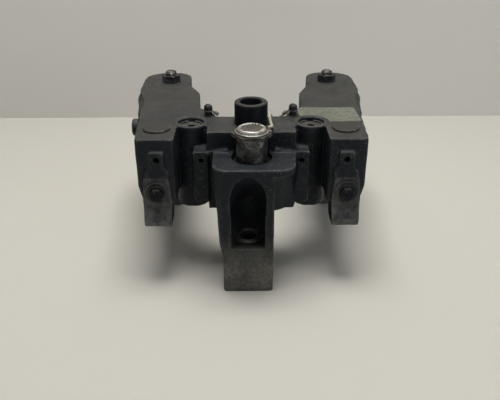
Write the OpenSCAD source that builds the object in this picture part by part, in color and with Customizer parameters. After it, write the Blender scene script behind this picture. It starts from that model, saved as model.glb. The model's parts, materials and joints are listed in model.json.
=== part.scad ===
// Hydraulic compression-brake housing: one iron casting that carries two slave
// pistons, two master pistons, two control valves and a solenoid valve.
// X runs to the right, Y to the back and Z up. The origin is on the bottom face
// of the mounting foot, on the centre plane, halfway along the foot.

/* [Casting] */
// Height of the machined top face above the foot
top_z = 136; // [130:1:142]
// Distance between the two slave pistons, the engine's cylinder spacing
slave_pitch = 165; // [160:1:170]
// How far the slave pistons stand behind the foot's centre
slave_y = 150; // [147:1:156]
// Distance between the two master pistons
master_pitch = 163; // [160:0.5:166]
// How far the master pistons stand behind the foot's centre
master_y = 11; // [9:0.5:13]
// Distance between the two control valves
valve_pitch = 106; // [102:1:110]
// How far the control valves stand behind the foot's centre
valve_y = 26; // [24:1:30]
// Underside of the front blocks, above the foot
block_bottom_z = 78; // [76:1:82]
// Front face of the front blocks, ahead of the foot's centre
block_front = 14.6; // [13:0.2:16]
// Inner side of the front blocks, from the centre plane
block_inner_x = 65; // [64:0.5:66]
// Outer side of the front blocks, from the centre plane
block_outer_x = 97.5; // [96.5:0.5:99]
// Underside of the arms, above the foot
arm_bottom_z = 92; // [88:1:98]
// How far the arms' side walls spread below the top face
arm_flare = 7.5; // [5:0.5:9]

/* [Mounting foot] */
// Length of the foot from front to back
foot_len = 76; // [74:1:80]
// Left side of the foot, from the centre plane
foot_left_x = 25.2; // [23:0.2:26]
// Right side of the foot, from the centre plane
foot_right_x = 18.6; // [17:0.2:19.4]
// Height of the shoulder where the leg widens
leg_shoulder_z = 40; // [34:1:44]
// How much the leg widens on the left, above its shoulder and at its top
leg_step = [3, 6.8]; // [2:0.2:8]
// Height of the bolt channel's upright part above its floor
channel_upright = 32; // [26:1:36]
// Radius of the bolt channel in the leg
channel_r = 14.4; // [13:0.2:15]
// Height of the channel's floor, where the front bolt's head sits
channel_floor_z = 44; // [40:1:50]
// Height where the channel runs out of the leg's front face
channel_end_z = 112; // [106:1:116]
// Radius of the two hold-down bolt holes
bolt_hole_r = 7; // [6:0.25:7.5]
// How far the front bolt stands left of the centre plane
front_bolt_x = 3.4; // [2:0.2:4.4]
// How far the front bolt stands ahead of the foot's centre
front_bolt_y = 14.5; // [13:0.5:16]

/* [Spacer tube] */
// Outer radius of the rear bolt's spacer tube
tube_r = 14.6; // [13:0.2:15.4]
// Bore radius of the spacer tube
tube_bore_r = 9.5; // [8:0.25:10.5]
// Height of the spacer tube above the top face
tube_h = 19.5; // [14:0.5:26]

/* [Control valves] */
// Outer radius of a control-valve boss
boss_r = 15; // [14.5:0.1:15.5]
// Lower end of the bosses, above the foot
boss_bottom_z = 60; // [56:1:64]
// Radius of the spring chamber in a boss
chamber_r = 11.15; // [10.5:0.05:11.6]
// Radius of the valve's own bore
valve_r = 9; // [8.4:0.1:9.4]
// Length of a control valve
valve_len = 28; // [24:1:30]
// How far a control valve rises
valve_travel = 5; // [2:0.5:6]
// Thickness of the cap washer over the spring
cap_t = 2; // [1.5:0.1:2.5]
// Radius of the hole in the cap washer
cap_hole_r = 3.35; // [2.5:0.05:4]

/* [Slave pistons] */
// Outer radius of a slave barrel
barrel_r = 23; // [21:0.5:23.5]
// Bore radius of a slave barrel
slave_r = 15; // [13.5:0.5:16]
// Depth of a slave bore from the barrel's mouth
slave_bore_len = 60; // [56:1:66]
// Thickness of a slave piston's crown
crown_t = 18; // [14:1:20]
// Radius of the adjusting screws
screw_r = 6; // [5:0.25:6.5]
// Distance across the flats of the locknuts
nut_af = 17; // [16:0.5:19]
// Height of the locknuts
nut_h = 7; // [6:0.5:9]
// How far the adjusting screws stand above their locknuts
screw_proud = 4.5; // [3:0.5:8]

/* [Master pistons] */
// Radius of a master piston's bore
master_r = 9.5; // [8.5:0.25:9.75]
// Length of a master piston
master_len = 42; // [36:1:46]
// How far a master piston stands out below its block at rest
master_proud = 3; // [2:0.25:4]
// Radius of the plug disc that closes the bore at the top
disc_r = 12; // [11:0.25:12.5]
// Thickness of the plug disc above the top face
disc_t = 1.9; // [1.2:0.1:2.5]

/* [Leaf springs] */
// Thickness of a leaf spring
leaf_t = 1.6; // [1.2:0.1:2]
// Width of a leaf spring at its bolt
leaf_w = 24.6; // [22:0.2:25]
// Height of a leaf spring's upper end above the foot
leaf_top_z = 101.5; // [100:0.5:104]
// Lowest point of a leaf spring, above the foot
leaf_bottom_z = 55.5; // [54:0.5:59]
// Height of a leaf spring's bolt above the foot
leaf_bolt_z = 88.3; // [86:0.1:90]
// Radius of the washer under a leaf spring's bolt
leaf_washer_r = 10.4; // [9.5:0.1:11]
// Radius of a leaf spring bolt's shank
leaf_bolt_r = 4; // [3:0.25:4.5]

/* [Solenoid valve] */
// How far the solenoid stands ahead of the foot's centre
solenoid_y = 8; // [7:0.25:9]
// Height of the round pad that the solenoid screws into
pad_z = 118.4; // [116:0.2:120]
// Half the width of the solenoid's pad
pad_r = 33; // [31:0.5:34]
// Radius of the recess round the solenoid
recess_r = 17.35; // [16:0.05:18]
// Depth of the recess
recess_d = 5.4; // [4:0.2:6]
// Radius of the solenoid's can
can_r = 13.35; // [12:0.05:14]
// Height of the can above the recess floor
can_h = 23.5; // [20:0.5:27]
// Distance across the flats of the solenoid's hexagon
hex_af = 30; // [28:0.5:32]
// Thickness of the hexagon
hex_t = 3.5; // [3:0.25:5]
// Outer radius of the rim above the hexagon
rim_r = 12.2; // [11:0.1:12.6]
// Height of the rim
rim_h = 4.3; // [3:0.1:6]
// Radius of the insulating disc inside the rim
cap_disc_r = 9.3; // [8:0.1:10]
// Radius of the solenoid's stem in the casting
stem_r = 9; // [8:0.1:9.4]
// Length of the stem
stem_len = 15.5; // [13:0.5:16]

/* [Fittings] */
// Thickness of the blank nameplate
plate_t = 0.6; // [0.4:0.1:1]
// Outer radius of the pipe plug on the left flank
flank_plug_r = 7.8; // [6.5:0.1:8]
// How far the pipe plug stands out of the flank
flank_plug_out = 6; // [3:0.5:7]
// Radius of the lead wire
wire_r = 1.3; // [1:0.1:1.5]

/* [Hidden] */
$fn = 48;
fit = 0.05;        // radial clearance of a running or sliding fit
soft_gap = 0.3;    // clearance next to springs and between moving faces
over = 1;          // how far a cut runs past a face
foot_front = -foot_len / 2;
foot_back = foot_len / 2;
slave_x = slave_pitch / 2;
master_x = master_pitch / 2;
valve_x = valve_pitch / 2;
arm_end = 37;      // from the slave pistons back to the arms' ends
arm_outer = 29.5;  // and out to the arms' outer and inner sides
arm_inner = 20;
waist_x = 49;      // inner side of the arms where they leave the beam
beam_front = 2;    // front and back faces of the beam between the bosses
beam_back = 42;
body_bottom_z = boss_bottom_z + 3;

// Slave piston stack, from the barrel's mouth up
circlip_z = 4.2;
circlip_t = 1.7;
circlip_out = 1.2;
retainer_t = 2.5;
retainer_z = circlip_z + circlip_t;
slave_foot_z = 1;
slave_stem_r = 7;
slave_top_z = slave_bore_len - 8;
crown_z = slave_top_z - crown_t;
nut_pad_h = 1;
nut_pad_r = 20;
nut_z = top_z + nut_pad_h;
screw_top_z = nut_z + nut_h + screw_proud;

// Control valve stack, from the top face down
boss_rim_h = 1.2;
ring_drop = 1.6;
ring_t = 1.4;
ring_out = 1;
ring_z = top_z - ring_drop - ring_t;
cap_z = ring_z - cap_t;
valve_z = boss_bottom_z + 12;
valve_top_z = valve_z + valve_len;
chamber_z = valve_top_z + valve_travel - 2;

master_z = block_bottom_z - master_proud;
leaf_end_z = master_z - soft_gap - leaf_t / 2;
leaf_y = -block_front - leaf_t / 2;
washer_t = 2;

seat_z = pad_z - recess_d;
can_top_z = seat_z + can_h;
hex_top_z = can_top_z + hex_t;
rim_top_z = hex_top_z + rim_h;

terminal_x = 38.5;
terminal_y = 45;
terminal_r = 4.3;
terminal_t = 0.9;
post_h = 4.4;      // the insulated posts under the ring terminals
post_r = 3.4;
crimp_lean = 38;
crimp_len = 4.4;
terminal_z = top_z + post_h;
flank_plug_y = 38;
flank_plug_z = top_z - flank_plug_r - 0.6;
flank_x = block_outer_x + 3.2;
pad_t = 7;
hole_pad_z = 118.5;
hole_pad_out = 3;
beam_half = 38.4;   // half the beam's length between the valve bosses
column_x = [37.3, 50.7];
column_z = [68, 119];
column_hole_z = 111;

// Points of the lead wire, from the solenoid over the beam to the right terminal
wire_route = [
    [13.6, -4, 142.2], [16, -1.5, 142.1], [17.6, 2.5, 140.6], [17.8, 8, 138.6], [17.4, 15, 137.7],
    [17, 24, 137.6], [16.8, 33, 137.7], [17, 40.5, 138], [17.8, 43.9, 137], [19.4, 45.4, 133.8],
    [22, 46, 131.7], [24.8, 45.8, 132.4], [27.1, 45.2, 134.65], [29.5, 45, 136.55],
];

// ---- Outlines ----

function unit(v) = v / norm(v);

// Points of the corner at p, between its neighbours a and b, rounded to radius r
function corner(a, p, b, r, n = 6) =
    r == 0 ? [p] :
    let (u = unit(a - p), w = unit(b - p))
    let (half = acos(u * w) / 2)
    let (centre = p + unit(u + w) * r / sin(half))
    let (from = p + u * r / tan(half) - centre, to = p + w * r / tan(half) - centre)
    [for (i = [0 : n]) centre + unit(from * (n - i) + to * i) * r];

function xy(p) = [p[0], p[1]];

// Closed outline through [x, y, corner radius] points
function rounded(pts) =
    let (n = len(pts))
    [for (i = [0 : n - 1])
        each corner(xy(pts[(i + n - 1) % n]), xy(pts[i]), xy(pts[(i + 1) % n]), pts[i][2])];

// Open path through [x, y, corner radius] points
function bent(pts) =
    let (n = len(pts))
    concat([xy(pts[0])],
        [for (i = [1 : n - 2]) each corner(xy(pts[i - 1]), xy(pts[i]), xy(pts[i + 1]), pts[i][2], 8)],
        [xy(pts[n - 1])]);

function side_of(path, i) =
    let (a = path[max(i - 1, 0)], b = path[min(i + 1, len(path) - 1)])
    let (d = unit(b - a))
    [-d[1], d[0]];

// Outline of a strip of thickness t along an open path
function strip(path, t) =
    let (n = len(path))
    concat([for (i = [0 : n - 1]) path[i] + side_of(path, i) * t / 2],
        [for (i = [n - 1 : -1 : 0]) path[i] - side_of(path, i) * t / 2]);

// ---- Shared shapes ----

module both_sides() {
    children();
    mirror([1, 0, 0]) children();
}

// Round tube or bar swept along points in space
module swept(points, r, sides = 8) {
    n = len(points);
    function along(i) = unit(points[min(i + 1, n - 1)] - points[max(i - 1, 0)]);
    function across(i) = unit(cross(along(i), [0.31, 0.17, 0.94]));
    function over_(i) = cross(along(i), across(i));
    rings = [for (i = [0 : n - 1], k = [0 : sides - 1])
        points[i] + r * (cos(360 * k / sides) * across(i) + sin(360 * k / sides) * over_(i))];
    walls = [for (i = [0 : n - 2], k = [0 : sides - 1])
        each [[i * sides + k, i * sides + (k + 1) % sides, (i + 1) * sides + (k + 1) % sides],
            [i * sides + k, (i + 1) * sides + (k + 1) % sides, (i + 1) * sides + k]]];
    start = [[for (k = [sides - 1 : -1 : 0]) k]];
    end = [[for (k = [0 : sides - 1]) (n - 1) * sides + k]];
    polyhedron(rings, concat(walls, start, end), convexity = 4);
}

// Coil spring standing on z0, with its wire's outer faces between z0 and z1
module coil(mean_r, wire, z0, z1, turns) {
    steps = turns * 12;
    swept([for (i = [0 : steps])
        [mean_r * cos(i * 30), mean_r * sin(i * 30), z0 + wire + (z1 - z0 - 2 * wire) * i / steps]],
        wire, 6);
}

module washer(outer, inner, h) {
    difference() {
        cylinder(r = outer, h = h);
        translate([0, 0, -over]) cylinder(r = inner, h = h + 2 * over);
    }
}

// Open ring of rectangular section, with its gap towards the back
module open_ring(outer, inner, h, gap_angle) {
    rotate([0, 0, 90 + gap_angle / 2])
        rotate_extrude(angle = 360 - gap_angle)
            translate([inner, 0]) square([outer - inner, h]);
}

// Hexagon with rounded upper corners, across-flats size af
module hexagon(af, h) {
    intersection() {
        cylinder(r = af / sqrt(3), h = h, $fn = 6);
        cylinder(r1 = af / sqrt(3) + h * 1.2 - 0.4, r2 = af / sqrt(3) - 0.9, h = h, $fn = 40);
    }
}

// ---- Casting ----

arm_outline = rounded([
    [block_inner_x, -block_front, 2], [block_outer_x, -block_front, 4], [block_outer_x + 4, 50, 60],
    [block_outer_x + 8.5, 92, 60], [slave_x + arm_outer, slave_y - 32, 40],
    [slave_x + arm_outer, slave_y + arm_end, 23], [slave_x - arm_inner, slave_y + arm_end, 19],
    [slave_x - arm_inner, slave_y - 8, 8], [slave_x - arm_inner - 6, slave_y - 22, 8],
    [waist_x + 1, slave_y - 38, 10], [waist_x, 68, 8], [34, 53, 5],
    [30, 36, 0], [30, valve_y - 8, 0], [block_inner_x, valve_y - 8, 0],
]);

// Upper edge of an arm's side walls, and the wider line lower down
function arm_wall(spread) = rounded([
    [54, 72, 4], [block_outer_x + 4.5 + spread, 68, 8], [block_outer_x + 7 + spread, 92, 40],
    [slave_x + arm_outer - 1 + spread * 0.5, slave_y - 32, 30],
    [slave_x + arm_outer - 1 + spread * 0.5, slave_y + arm_end - 2 + spread * 0.3, 21],
    [slave_x - arm_inner + 2, slave_y + arm_end - 2 + spread * 0.3, 18],
    [slave_x - arm_inner + 2, slave_y - 16, 10],
]);

module arm() {
    difference() {
        translate([0, 0, block_bottom_z]) linear_extrude(top_z - block_bottom_z) polygon(arm_outline);
        translate([30, 60, block_bottom_z - over])
            cube([slave_pitch, slave_y + arm_end, arm_bottom_z - block_bottom_z + over]);
    }
    hull() {
        translate([0, 0, top_z - 4]) linear_extrude(1) polygon(arm_wall(0));
        translate([0, 0, arm_bottom_z + 2]) linear_extrude(top_z - 10 - arm_bottom_z) polygon(arm_wall(arm_flare));
    }
    translate([slave_x, slave_y, 0]) {
        cylinder(r = barrel_r, h = arm_bottom_z + 6);
        translate([0, 0, top_z - 4]) cylinder(r = nut_pad_r, h = 4 + nut_pad_h);
    }
}

// Lower outer edge of a front block, rounded in towards its underside
module block_edge_cut() {
    edge = bent([[block_outer_x + 12, block_bottom_z + 22, 0], [block_outer_x + 0.6, block_bottom_z + 16, 8],
        [block_outer_x - 4.6, block_bottom_z - 0.4, 0]]);
    translate([0, 60, 0]) rotate([90, 0, 0]) linear_extrude(60 + block_front + over)
        polygon(concat(edge, [[block_outer_x + 12, block_bottom_z - over]]));
}

// Raised pad round the oil hole above a leaf spring
module hole_pad() {
    outline = rounded([
        [-6.2, hole_pad_z + 7, 1], [6.2, hole_pad_z + 7, 1], [6.8, hole_pad_z - 6, 2],
        [10.2, hole_pad_z - 11, 2], [10.2, leaf_top_z + soft_gap, 0], [-10.2, leaf_top_z + soft_gap, 0],
        [-10.2, hole_pad_z - 11, 2], [-6.8, hole_pad_z - 6, 2],
    ]);
    translate([master_x - 1.5, -block_front + over, 0]) rotate([90, 0, 0])
        linear_extrude(over + hole_pad_out) polygon(outline);
}

// Small upright column in front of the inner half of a valve boss
module column() {
    outline = rounded([
        [column_x[0], column_z[0] + 4, 3], [(column_x[0] + column_x[1]) / 2, column_z[0], 6],
        [column_x[1], column_z[0] + 4, 3], [column_x[1], column_z[1], 1], [column_x[0], column_z[1], 1],
    ]);
    difference() {
        translate([0, valve_y, 0]) rotate([90, 0, 0]) linear_extrude(valve_y + 1) polygon(outline);
        translate([column_x[0] - over, -1, column_z[1]]) rotate([-58, 0, 0])
            translate([0, -8, 0]) cube([column_x[1] - column_x[0] + 2 * over, 8, 30]);
    }
}

// The right-hand web from the leg to the column leans back towards its lower edge
module leaning_web() {
    hull() {
        translate([0, 0, pad_z - pad_t - 1]) linear_extrude(4)
            polygon([[foot_right_x - 4, -33], [foot_right_x + 5, -32], [pad_r - 1, -24], [column_x[0] + 2, -4],
                [column_x[0] + 2, beam_front + 4], [foot_right_x - 4, beam_front + 4]]);
        translate([0, 0, body_bottom_z + 2]) linear_extrude(4)
            polygon([[foot_right_x - 4, -9], [foot_right_x + 4, -7], [column_x[0] + 2, 4],
                [column_x[0] + 2, beam_front + 4], [foot_right_x - 4, beam_front + 4]]);
    }
}

module leg() {
    foot = rounded([
        [-foot_left_x, foot_front, 2], [foot_right_x, foot_front, 2],
        [foot_right_x, foot_back, 4], [-foot_left_x, foot_back, 4],
    ]);
    function upper(step) = rounded([
        [-foot_left_x - step, foot_front + 6, 1.5], [-foot_left_x + 0.5, foot_front, 1.5],
        [foot_right_x, foot_front, 1.5], [foot_right_x, foot_back, 4],
        [-foot_left_x - step, foot_back, 4],
    ]);
    linear_extrude(leg_shoulder_z + 4) polygon(foot);
    hull() {
        translate([0, 0, leg_shoulder_z + 4]) linear_extrude(0.5) polygon(upper(leg_step[0]));
        translate([0, 0, leg_shoulder_z - 3]) linear_extrude(0.5) polygon(foot);
    }
    hull() {
        translate([0, 0, leg_shoulder_z + 4]) linear_extrude(0.5) polygon(upper(leg_step[0]));
        translate([0, 0, pad_z - 3]) linear_extrude(1) polygon(upper(leg_step[1]));
    }
}

// Bolt channel: upright over its floor, then leaning out of the front face
module channel_cut() {
    turn_z = channel_floor_z + channel_upright;
    lean = atan2(foot_len / 2 + channel_r - front_bolt_y, channel_end_z - turn_z);
    forward = channel_r / cos(lean) - channel_r;
    lean_r = channel_r + 0.25;
    translate([-front_bolt_x, -front_bolt_y, 0]) {
        translate([0, 0, channel_floor_z]) cylinder(r = channel_r, h = turn_z - channel_floor_z);
        translate([-channel_r, -foot_len, channel_floor_z])
            cube([2 * channel_r, foot_len, turn_z - channel_floor_z]);
        intersection() {
            translate([0, -forward, turn_z]) rotate([lean, 0, 0]) {
                translate([0, 0, -30]) cylinder(r = lean_r, h = 110);
                translate([-lean_r, -foot_len, -30]) cube([2 * lean_r, foot_len, 110]);
            }
            translate([-channel_r - 4, -foot_len, turn_z - 0.5])
                cube([2 * channel_r + 8, 2 * foot_len, pad_z - 4 - turn_z]);
        }
        translate([0, 0, -over]) cylinder(r = bolt_hole_r, h = channel_floor_z + 2 * over);
        translate([0, 0, channel_floor_z - 0.8]) cylinder(r = channel_r - 2.4, h = 2);
    }
}

module centre_body() {
    translate([-beam_half, beam_front, body_bottom_z])
        cube([2 * beam_half, beam_back - beam_front, top_z - body_bottom_z]);
    translate([-valve_x, valve_y - 10, body_bottom_z]) cube([valve_pitch, 20, top_z - 4 - body_bottom_z]);
    translate([0, 0, pad_z - pad_t]) linear_extrude(pad_t) polygon(rounded([
        [-pad_r, foot_front - 0.6, 13], [pad_r + 2, foot_front - 0.6, 15],
        [beam_half, 0, 4], [beam_half, beam_front + 4, 0], [-pad_r, beam_front + 4, 0],
    ]));
}

// Sloping ledge on the beam's front face, either side of the solenoid
module ledge() {
    translate([20, beam_front - 2.6, pad_z + 3.4]) rotate([0, 9, 0]) translate([0, 0, -3])
        cube([19, 4, 3]);
}

module valve_bore() {
    translate([valve_x, valve_y, 0]) {
        translate([0, 0, chamber_z]) cylinder(r = chamber_r, h = top_z);
        translate([0, 0, ring_z]) cylinder(r = chamber_r + ring_out, h = ring_t);
        translate([0, 0, valve_z]) cylinder(r = valve_r + fit, h = chamber_z);
        translate([0, 0, boss_bottom_z - over]) cylinder(r = 4, h = valve_z);
        translate([0, 0, top_z + boss_rim_h - 0.8]) cylinder(r1 = chamber_r, r2 = chamber_r + 0.9, h = 0.9);
    }
}

module slave_bore() {
    translate([slave_x, slave_y, 0]) {
        translate([0, 0, -over]) cylinder(r = slave_r, h = slave_bore_len + over);
        translate([0, 0, circlip_z]) cylinder(r = slave_r + circlip_out, h = circlip_t);
        cylinder(r = screw_r + fit, h = 2 * top_z);
    }
}

module master_bore() {
    translate([master_x, master_y, block_bottom_z - over]) cylinder(r = master_r, h = top_z);
}

module small_holes() {
    translate([master_x, -block_front - over, leaf_bolt_z]) rotate([-90, 0, 0])
        cylinder(r = leaf_bolt_r + fit, h = 13 + over);
    translate([master_x - 1.5, -block_front - hole_pad_out - over, hole_pad_z]) rotate([-90, 0, 0])
        cylinder(r = 2.6, h = 10);
    translate([(column_x[0] + column_x[1]) / 2 - 0.5, -over - 1, column_hole_z]) rotate([-90, 0, 0])
        cylinder(r = 2, h = 10);
    translate([terminal_x, terminal_y, top_z - 10]) cylinder(r = 2 + fit, h = 12);
}

module housing() {
    color([0.17, 0.17, 0.16]) difference() {
        union() {
            both_sides() {
                arm();
                translate([valve_x, valve_y, boss_bottom_z])
                    cylinder(r = boss_r, h = top_z + boss_rim_h - boss_bottom_z);
                column();
                hole_pad();
                ledge();
            }
            centre_body();
            leg();
            leaning_web();
        }
        both_sides() {
            block_edge_cut();
            valve_bore();
            slave_bore();
            master_bore();
            small_holes();
        }
        channel_cut();
        translate([0, valve_y, -over]) cylinder(r = bolt_hole_r, h = top_z + 2 * over);
        translate([0, -solenoid_y, seat_z]) cylinder(r = recess_r, h = 30);
        translate([0, -solenoid_y, seat_z - stem_len - 0.5]) cylinder(r = stem_r, h = 30);
        translate([-flank_x - over, flank_plug_y, flank_plug_z]) rotate([0, 90, 0])
            cylinder(r = 5 + fit, h = 12);
    }
}

// ---- Spacer tube and top plugs ----

module spacer_tube() {
    color([0.12, 0.12, 0.12]) translate([0, valve_y, top_z]) rotate_extrude()
        polygon([
            [tube_bore_r, 0], [tube_r + 0.5, 0], [tube_r + 0.5, 1.2], [tube_r, 3],
            [tube_r, tube_h - 0.8], [tube_r - 0.8, tube_h], [tube_bore_r + 0.6, tube_h],
            [tube_bore_r, tube_h - 0.6],
        ]);
}

module plug_disc(side) {
    color([0.28, 0.27, 0.25]) translate([side * master_x, master_y, top_z]) rotate_extrude()
        polygon([
            [0, -8], [master_r - fit, -8], [master_r - fit, 0], [disc_r, 0],
            [disc_r, disc_t - 0.7], [disc_r - 0.7, disc_t], [0, disc_t],
        ]);
}

// ---- Master pistons and leaf springs ----

module master_piston(side) {
    color([0.5, 0.5, 0.5]) translate([side * master_x, master_y, master_z]) rotate_extrude()
        polygon([
            [0, 0], [master_r - 1.6, 0], [master_r - fit, 1.6], [master_r - fit, master_len],
            [master_r - 2.5, master_len], [master_r - 2.5, master_len - 14], [0, master_len - 14],
        ]);
}

leaf_path = bent([
    [leaf_y, leaf_top_z, 0], [leaf_y, leaf_bolt_z - 13.8, 14], [leaf_y - 6.6, leaf_bottom_z + 5, 5],
    [leaf_y - 2, leaf_bottom_z + leaf_t / 2, 5], [leaf_y + 17, leaf_bottom_z + leaf_t / 2, 7],
    [leaf_y + 22, leaf_end_z, 2.4], [master_y + 6, leaf_end_z, 0],
]);

module leaf_spring(side) {
    half = leaf_w / 2;
    face = rounded([
        [-half + 1.8, leaf_top_z + 0.4, 2.5], [half - 1.8, leaf_top_z + 0.4, 2.5],
        [half, leaf_bolt_z - 6, 20], [half - 0.8, leaf_bottom_z - 0.6, 2.6],
        [-half + 0.8, leaf_bottom_z - 0.6, 2.6], [-half, leaf_bolt_z - 6, 20],
    ]);
    color([0.22, 0.22, 0.21]) translate([side * master_x, 0, 0]) difference() {
        intersection() {
            translate([-half, 0, 0]) rotate([90, 0, 90]) linear_extrude(leaf_w)
                polygon(strip(leaf_path, leaf_t));
            translate([0, 60, 0]) rotate([90, 0, 0]) linear_extrude(120) polygon(face);
        }
        translate([0, -block_front - 10, leaf_bolt_z]) rotate([-90, 0, 0])
            cylinder(r = leaf_bolt_r + 0.2, h = 12);
    }
}

module on_leaf_bolt(side, out) {
    translate([side * master_x, -block_front - leaf_t - out, leaf_bolt_z]) rotate([90, 0, 0]) children();
}

module leaf_washer(side) {
    color([0.22, 0.22, 0.21]) on_leaf_bolt(side, 0) rotate_extrude()
        polygon([
            [leaf_bolt_r + 0.2, 0], [leaf_washer_r, 0], [leaf_washer_r, washer_t - 0.5],
            [leaf_washer_r - 0.5, washer_t], [leaf_washer_r - 1.7, washer_t],
            [leaf_washer_r - 2.3, washer_t - 0.6], [leaf_bolt_r + 0.2, washer_t - 0.6],
        ]);
}

module leaf_bolt(side) {
    seat = washer_t - 0.6;
    color([0.24, 0.23, 0.22]) on_leaf_bolt(side, 0) {
        translate([0, 0, -leaf_t - 11.5]) cylinder(r = leaf_bolt_r, h = 11.5 + leaf_t + seat + 0.5);
        translate([0, 0, seat]) cylinder(r1 = 7, r2 = 6.4, h = 1.2);
        translate([0, 0, seat + 0.6]) difference() {
            hexagon(10, 5.4);
            translate([0, 0, 4.9]) cylinder(r = 3, h = 1);
        }
    }
}

// ---- Control valves ----

module at_valve(side) {
    translate([side * valve_x, valve_y, 0]) children();
}

module control_valve(side) {
    color([0.55, 0.55, 0.55]) at_valve(side) translate([0, 0, valve_z]) rotate_extrude()
        polygon([
            [0, 0], [valve_r - 1, 0], [valve_r, 1], [valve_r, 9], [valve_r - 2, 9], [valve_r - 2, 18],
            [valve_r, 18], [valve_r, valve_len - 1], [valve_r - 0.6, valve_len],
            [valve_r - 5, valve_len], [valve_r - 5, valve_len - 8], [0, valve_len - 8],
        ]);
}

module valve_spring(side) {
    color([0.4, 0.4, 0.4]) at_valve(side)
        coil(7, 1, valve_top_z + soft_gap, cap_z - soft_gap, 5);
}

module valve_cap(side) {
    color([0.2, 0.2, 0.19]) at_valve(side) translate([0, 0, cap_z])
        washer(chamber_r - fit, cap_hole_r, cap_t);
}

module retaining_ring(side) {
    color([0.3, 0.29, 0.27]) at_valve(side) translate([0, 0, ring_z])
        open_ring(chamber_r + ring_out - 0.1, chamber_r - 1.6, ring_t - 0.1, 38);
}

// ---- Slave pistons ----

module at_slave(side) {
    translate([side * slave_x, slave_y, 0]) children();
}

module slave_piston(side) {
    color([0.55, 0.55, 0.55]) at_slave(side) difference() {
        rotate_extrude() polygon([
            [0, slave_foot_z], [slave_stem_r - 1, slave_foot_z], [slave_stem_r, slave_foot_z + 1],
            [slave_stem_r, crown_z], [slave_r - fit - 0.8, crown_z], [slave_r - fit, crown_z + 0.8],
            [slave_r - fit, slave_top_z - 0.8], [slave_r - fit - 0.8, slave_top_z], [0, slave_top_z],
        ]);
        translate([-slave_r, -1.5, slave_foot_z - over]) cube([2 * slave_r, 3, over + 2.5]);
    }
}

module slave_spring(side) {
    color([0.4, 0.4, 0.4]) at_slave(side)
        coil(11, 1.5, retainer_z + retainer_t + soft_gap, crown_z - soft_gap, 4);
}

module spring_retainer(side) {
    color([0.35, 0.35, 0.35]) at_slave(side) translate([0, 0, retainer_z])
        washer(slave_r - 0.2, slave_stem_r + 0.4, retainer_t);
}

module slave_circlip(side) {
    color([0.3, 0.3, 0.3]) at_slave(side) translate([0, 0, circlip_z + 0.1])
        open_ring(slave_r + circlip_out - 0.1, slave_r - 2.4, circlip_t - 0.1, 40);
}

module adjusting_screw(side) {
    color([0.2, 0.2, 0.19]) at_slave(side) difference() {
        rotate_extrude() polygon([
            [0, slave_top_z + soft_gap], [screw_r - 1.5, slave_top_z + soft_gap],
            [screw_r, slave_top_z + soft_gap + 1.5], [screw_r, screw_top_z - 1],
            [screw_r - 1, screw_top_z], [0, screw_top_z],
        ]);
        rotate([0, 0, side * 24]) translate([-2 * screw_r, -0.8, screw_top_z - 2.6])
            cube([4 * screw_r, 1.6, 4]);
    }
}

module locknut(side) {
    color([0.16, 0.16, 0.15]) at_slave(side) translate([0, 0, nut_z]) difference() {
        rotate([0, 0, side * 8]) hexagon(nut_af, nut_h);
        translate([0, 0, -over]) cylinder(r = screw_r + fit, h = nut_h + 2 * over);
    }
}

// ---- Solenoid valve ----

module at_solenoid(z = 0) {
    translate([0, -solenoid_y, z]) children();
}

module solenoid_can() {
    groove_z = [-5, -11.5];
    color([0.2, 0.18, 0.16]) at_solenoid(seat_z) difference() {
        rotate_extrude() polygon([
            [0, -stem_len], [stem_r - 0.8, -stem_len], [stem_r - fit, -stem_len + 0.8],
            [stem_r - fit, 0], [can_r - 0.6, 0], [can_r, 0.6], [can_r, can_h], [0, can_h],
        ]);
        for (z = groove_z) translate([0, 0, z - 1.1]) washer(stem_r + 1, stem_r - 2, 2.2);
        translate([0, 0, -stem_len - over]) cylinder(r = 4 + fit, h = 12 + over);
    }
}

module solenoid_seals() {
    color([0.1, 0.1, 0.1]) for (z = [-5, -11.5]) at_solenoid(seat_z + z)
        rotate_extrude() translate([stem_r - 1.05, 0]) circle(r = 0.9, $fn = 24);
}

module solenoid_armature() {
    color([0.6, 0.6, 0.6]) at_solenoid(seat_z - stem_len)
        cylinder(r = 4, h = 10);
}

module solenoid_hex() {
    color([0.3, 0.29, 0.26]) at_solenoid(can_top_z) hexagon(hex_af, hex_t);
}

module solenoid_rim() {
    color([0.35, 0.34, 0.31]) at_solenoid(hex_top_z) washer(rim_r, cap_disc_r + 0.1, rim_h);
}

module solenoid_disc() {
    color([0.48, 0.46, 0.43]) at_solenoid(hex_top_z) difference() {
        cylinder(r = cap_disc_r, h = rim_h - 0.8);
        translate([0, 0, rim_h - 1.4]) cylinder(r = 1.3, h = 2);
    }
}

module solenoid_wire_ring() {
    color([0.4, 0.39, 0.36]) at_solenoid(hex_top_z + 0.9) rotate([0, 0, 29])
        rotate_extrude(angle = 318) translate([rim_r + 1.2, 0]) circle(r = 0.9, $fn = 24);
}

// ---- Lead and terminals ----

module lead_wire() {
    color([0.62, 0.6, 0.52]) swept(wire_route, wire_r);
}

module lead_lug() {
    start = wire_route[0];
    color([0.55, 0.53, 0.46]) translate([start[0], start[1], hex_top_z])
        translate([-1.2, -4.5, 0]) cube([4, 4, 0.8]);
}

// Ring terminal lying on the casting, with its crimp towards the centre plane
module ring_terminal(side) {
    color([0.35, 0.34, 0.3]) translate([side * terminal_x, terminal_y, terminal_z])
        mirror([side > 0 ? 1 : 0, 0, 0]) difference() {
            union() {
                cylinder(r = terminal_r, h = terminal_t);
                translate([3.2, 0, terminal_t / 2]) rotate([0, crimp_lean, 0]) {
                    translate([0, -1.4, -terminal_t / 2]) cube([3.4, 2.8, terminal_t]);
                    translate([2.6, 0, 0.3]) rotate([0, 90, 0]) cylinder(r = 1.7, h = crimp_len);
                }
            }
            translate([0, 0, -over]) cylinder(r = 2.3, h = 4);
        }
}

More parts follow.
